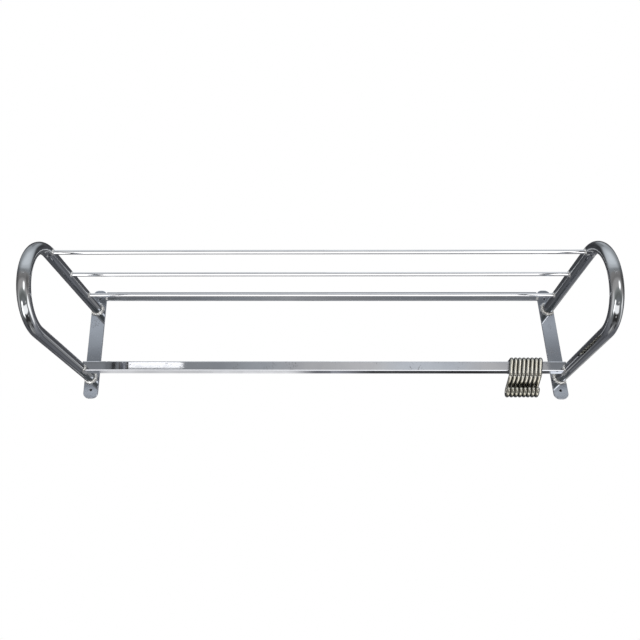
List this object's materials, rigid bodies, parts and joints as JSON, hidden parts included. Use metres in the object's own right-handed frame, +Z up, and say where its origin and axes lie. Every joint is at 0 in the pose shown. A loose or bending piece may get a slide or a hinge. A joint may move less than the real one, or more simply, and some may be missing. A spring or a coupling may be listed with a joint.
{
  "type": "wall coat rack",
  "caption": "Wall-mounted chrome tubular coat and hat rack: bent side loops on wall straps with a crossbar, shelf rods, a square hanger rail and sliding S-hooks.",
  "frame": {"origin": "centre of the four wall screw holes, on the wall plane (the back faces of the two straps)", "axes": "+Z up, +Y into the wall, +X to the right for someone who faces the wall; the rack stands out towards -Y"},
  "size_m": [1, 0.35, 0.254],
  "materials": {
    "chrome_tube": "bright chrome plate, polished",
    "chrome_flat_bar": "chrome plate over rolled flat bar, slightly dull",
    "chrome_thin_rod": "bright chrome plate",
    "chrome_rail": "bright chrome plate with fine rubbing marks",
    "weld_bead": "rough weld bead under chrome plate",
    "hook_wire": "aged nickel plate, warm and slightly tarnished"
  },
  "bodies": {
    "rack": {"left_side_loop": "chrome_tube", "right_side_loop": "chrome_tube", "left_wall_strap": "chrome_flat_bar", "right_wall_strap": "chrome_flat_bar", "wall_crossbar": "chrome_flat_bar", "front_shelf_rod": "chrome_thin_rod", "middle_shelf_rod": "chrome_thin_rod", "rear_shelf_rod": "chrome_thin_rod", "hanger_rail": "chrome_rail", "left_upper_strap_weld": "weld_bead", "left_lower_strap_weld": "weld_bead", "left_front_rod_weld": "weld_bead", "left_middle_rod_weld": "weld_bead", "left_rear_rod_weld": "weld_bead", "left_rail_weld": "weld_bead", "left_crossbar_weld": "weld_bead", "right_upper_strap_weld": "weld_bead", "right_lower_strap_weld": "weld_bead", "right_front_rod_weld": "weld_bead", "right_middle_rod_weld": "weld_bead", "right_rear_rod_weld": "weld_bead", "right_rail_weld": "weld_bead", "right_crossbar_weld": "weld_bead"},
    "hook_1_body": {"hook_1": "hook_wire"},
    "hook_2_body": {"hook_2": "hook_wire"},
    "hook_3_body": {"hook_3": "hook_wire"},
    "hook_4_body": {"hook_4": "hook_wire"},
    "hook_5_body": {"hook_5": "hook_wire"},
    "hook_6_body": {"hook_6": "hook_wire"},
    "hook_7_body": {"hook_7": "hook_wire"},
    "hook_8_body": {"hook_8": "hook_wire"}
  },
  "joints": [
    {"name": "hook_8_slide", "type": "slide", "parent": "rack", "child": "hook_8_body", "axis": [1, 0, 0], "range_m": [-0.105, 0.03]},
    {"name": "hook_7_slide", "type": "slide", "parent": "hook_8_body", "child": "hook_7_body", "axis": [1, 0, 0], "range_m": [-0.105, 0]},
    {"name": "hook_6_slide", "type": "slide", "parent": "hook_7_body", "child": "hook_6_body", "axis": [1, 0, 0], "range_m": [-0.105, 0]},
    {"name": "hook_5_slide", "type": "slide", "parent": "hook_6_body", "child": "hook_5_body", "axis": [1, 0, 0], "range_m": [-0.105, 0]},
    {"name": "hook_4_slide", "type": "slide", "parent": "hook_5_body", "child": "hook_4_body", "axis": [1, 0, 0], "range_m": [-0.105, 0]},
    {"name": "hook_3_slide", "type": "slide", "parent": "hook_4_body", "child": "hook_3_body", "axis": [1, 0, 0], "range_m": [-0.105, 0]},
    {"name": "hook_2_slide", "type": "slide", "parent": "hook_3_body", "child": "hook_2_body", "axis": [1, 0, 0], "range_m": [-0.105, 0]},
    {"name": "hook_1_slide", "type": "slide", "parent": "hook_2_body", "child": "hook_1_body", "axis": [1, 0, 0], "range_m": [-0.105, 0]}
  ]
}
